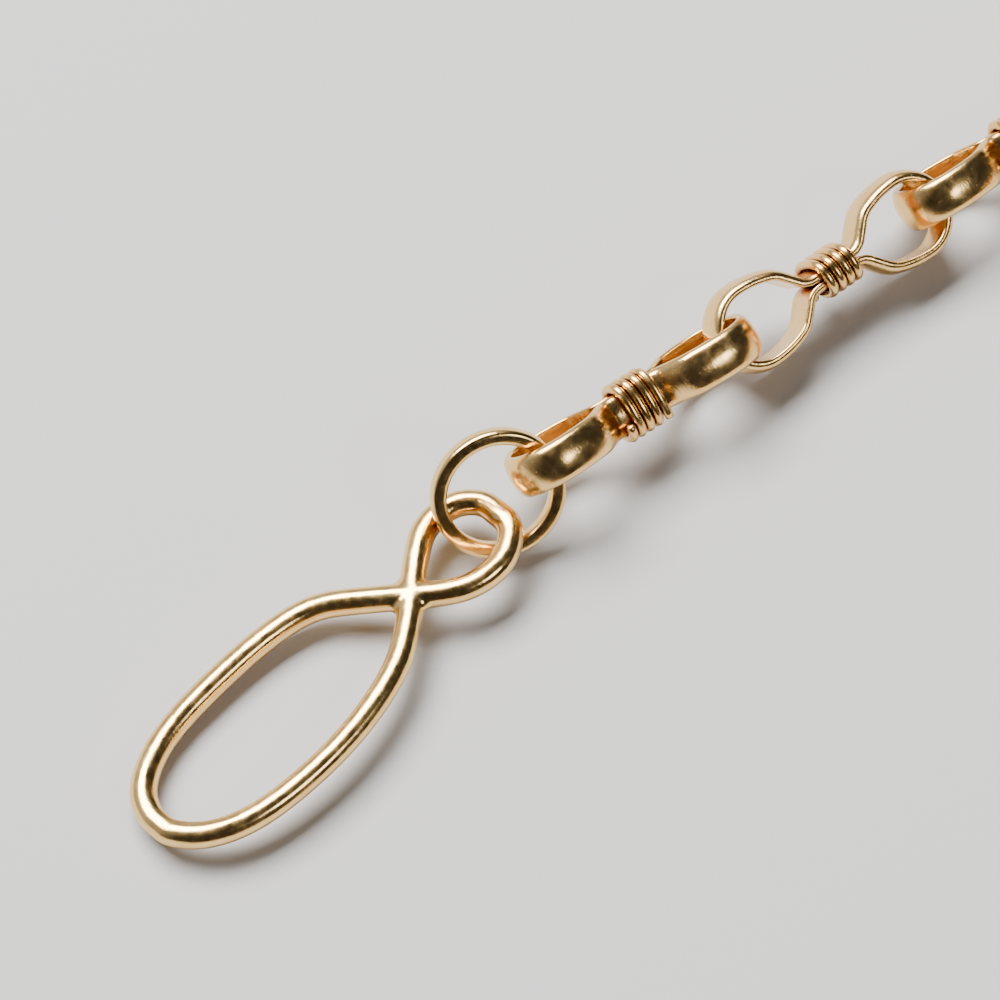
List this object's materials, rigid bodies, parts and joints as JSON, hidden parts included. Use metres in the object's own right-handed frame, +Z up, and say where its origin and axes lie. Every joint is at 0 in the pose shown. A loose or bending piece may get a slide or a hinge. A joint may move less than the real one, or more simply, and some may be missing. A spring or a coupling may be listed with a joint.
{
  "type": "pocket watch chain",
  "caption": "Pocket watch chain of long wire-bound gilt links, with a formed wire loop for the watch, jump rings and a bar for the buttonhole.",
  "frame": {"origin": "on the surface the chain lies on, under the middle of its whole extent", "axes": "+X along the watch loop from its tip towards its eye, +Z up"},
  "size_m": [0.114, 0.0618, 0.0048],
  "materials": {
    "gold_wire": "polished gilt",
    "gold_band": "polished gilt, lightly worn",
    "binding_wire": "polished gilt with tarnish between the turns"
  },
  "bodies": {
    "watch_loop": {"watch_loop": "gold_wire"},
    "watch_jump_ring": {"watch_jump_ring": "gold_wire"},
    "link_01": {"link_01_band": "gold_band", "link_01_binding": "binding_wire"},
    "link_02": {"link_02_band": "gold_band", "link_02_binding": "binding_wire"},
    "link_03": {"link_03_band": "gold_band", "link_03_binding": "binding_wire"},
    "link_04": {"link_04_band": "gold_band", "link_04_binding": "binding_wire"},
    "link_05": {"link_05_band": "gold_band", "link_05_binding": "binding_wire"},
    "link_06": {"link_06_band": "gold_band", "link_06_binding": "binding_wire"},
    "link_07": {"link_07_band": "gold_band", "link_07_binding": "binding_wire"},
    "link_08": {"link_08_band": "gold_band", "link_08_binding": "binding_wire"},
    "link_09": {"link_09_band": "gold_band", "link_09_binding": "binding_wire"},
    "link_10": {"link_10_band": "gold_band", "link_10_binding": "binding_wire"},
    "link_11": {"link_11_band": "gold_band", "link_11_binding": "binding_wire"},
    "link_12": {"link_12_band": "gold_band", "link_12_binding": "binding_wire"},
    "link_13": {"link_13_band": "gold_band", "link_13_binding": "binding_wire"},
    "link_14": {"link_14_band": "gold_band", "link_14_binding": "binding_wire"},
    "link_15": {"link_15_band": "gold_band", "link_15_binding": "binding_wire"},
    "link_16": {"link_16_band": "gold_band", "link_16_binding": "binding_wire"},
    "link_17": {"link_17_band": "gold_band", "link_17_binding": "binding_wire"},
    "link_18": {"link_18_band": "gold_band", "link_18_binding": "binding_wire"},
    "link_19": {"link_19_band": "gold_band", "link_19_binding": "binding_wire"},
    "bar_jump_ring": {"bar_jump_ring": "gold_wire"},
    "waistcoat_bar": {"waistcoat_bar": "gold_wire", "bar_eye": "gold_wire"}
  },
  "joints": [
    {"name": "watch_jump_ring_swing", "type": "hinge", "parent": "watch_loop", "child": "watch_jump_ring", "pos_m": [0.00707, 0.02715, 0.00166], "axis": [0.9993, 0, 0.0384], "range_deg": [0, 60]},
    {"name": "link_01_swing", "type": "hinge", "parent": "watch_jump_ring", "child": "link_01", "pos_m": [0.00734, 0.02776, 0.00255], "axis": [-0.3705, -0.6909, 0.6208], "range_deg": [-30, 50]},
    {"name": "link_02_swing", "type": "hinge", "parent": "link_01", "child": "link_02", "pos_m": [0.01759, 0.02614, 0.00238], "axis": [-0.1486, -0.8161, -0.5584], "range_deg": [-55, 55]},
    {"name": "link_03_swing", "type": "hinge", "parent": "link_02", "child": "link_03", "pos_m": [0.02728, 0.02505, 0.00225], "axis": [0.0586, 0.5562, -0.829], "range_deg": [-55, 55]},
    {"name": "link_04_swing", "type": "hinge", "parent": "link_03", "child": "link_04", "pos_m": [0.03693, 0.02359, 0.00217], "axis": [0.1383, 0.8174, 0.5592], "range_deg": [-55, 55]},
    {"name": "link_05_swing", "type": "hinge", "parent": "link_04", "child": "link_05", "pos_m": [0.0452, 0.0192, 0.00215], "axis": [-0.2762, -0.4862, 0.829], "range_deg": [-55, 55]},
    {"name": "link_06_swing", "type": "hinge", "parent": "link_05", "child": "link_06", "pos_m": [0.05148, 0.01224, 0.00215], "axis": [-0.6313, -0.5373, -0.5592], "range_deg": [-55, 55]},
    {"name": "link_07_swing", "type": "hinge", "parent": "link_06", "child": "link_07", "pos_m": [0.055, 0.00356, 0.00215], "axis": [0.5241, 0.1949, -0.829], "range_deg": [-55, 55]},
    {"name": "link_08_swing", "type": "hinge", "parent": "link_07", "child": "link_08", "pos_m": [0.05533, -0.00581, 0.00215], "axis": [0.829, 0.0058, 0.5592], "range_deg": [-55, 55]},
    {"name": "link_09_swing", "type": "hinge", "parent": "link_08", "child": "link_09", "pos_m": [0.05244, -0.01472, 0.00215], "axis": [-0.5268, 0.1876, 0.829], "range_deg": [-35, 55]},
    {"name": "link_10_swing", "type": "hinge", "parent": "link_09", "child": "link_10", "pos_m": [0.04668, -0.02211, 0.00215], "axis": [-0.6388, 0.5284, -0.5592], "range_deg": [-55, 55]},
    {"name": "link_11_swing", "type": "hinge", "parent": "link_10", "child": "link_11", "pos_m": [0.03874, -0.02708, 0.00215], "axis": [0.283, -0.4823, -0.829], "range_deg": [-55, 55]},
    {"name": "link_12_swing", "type": "hinge", "parent": "link_11", "child": "link_12", "pos_m": [0.02957, -0.02904, 0.00215], "axis": [0.1497, -0.8154, 0.5592], "range_deg": [-55, 55]},
    {"name": "link_13_swing", "type": "hinge", "parent": "link_12", "child": "link_13", "pos_m": [0.02029, -0.02774, 0.00215], "axis": [0.0933, 0.5514, 0.829], "range_deg": [-55, 55]},
    {"name": "link_14_swing", "type": "hinge", "parent": "link_13", "child": "link_14", "pos_m": [0.01107, -0.02597, 0.00215], "axis": [0.1582, 0.8138, -0.5592], "range_deg": [-55, 55]},
    {"name": "link_15_swing", "type": "hinge", "parent": "link_14", "child": "link_15", "pos_m": [0.00176, -0.02477, 0.00215], "axis": [-0.0681, -0.555, -0.829], "range_deg": [-55, 55]},
    {"name": "link_16_swing", "type": "hinge", "parent": "link_15", "child": "link_16", "pos_m": [-0.00752, -0.02333, 0.00215], "axis": [-0.1297, -0.8188, 0.5592], "range_deg": [-55, 55]},
    {"name": "link_17_swing", "type": "hinge", "parent": "link_16", "child": "link_17", "pos_m": [-0.01668, -0.02127, 0.00215], "axis": [0.1258, 0.5449, 0.829], "range_deg": [-55, 55]},
    {"name": "link_18_swing", "type": "hinge", "parent": "link_17", "child": "link_18", "pos_m": [-0.02592, -0.0196, 0.00215], "axis": [0.144, 0.8164, -0.5592], "range_deg": [-55, 55]},
    {"name": "link_19_swing", "type": "hinge", "parent": "link_18", "child": "link_19", "pos_m": [-0.03521, -0.01827, 0.00215], "axis": [-0.0778, -0.5538, -0.829], "range_deg": [-55, 55]},
    {"name": "bar_jump_ring_swing", "type": "hinge", "parent": "link_19", "child": "bar_jump_ring", "pos_m": [-0.04444, -0.01651, 0.00215], "axis": [-0.1582, -0.8138, 0.5592], "range_deg": [-55, 55]},
    {"name": "waistcoat_bar_swing", "type": "hinge", "parent": "bar_jump_ring", "child": "waistcoat_bar", "pos_m": [-0.04744, -0.01601, 0.00204], "axis": [0.0623, 0.5575, 0.8278], "range_deg": [-55, 55]}
  ]
}
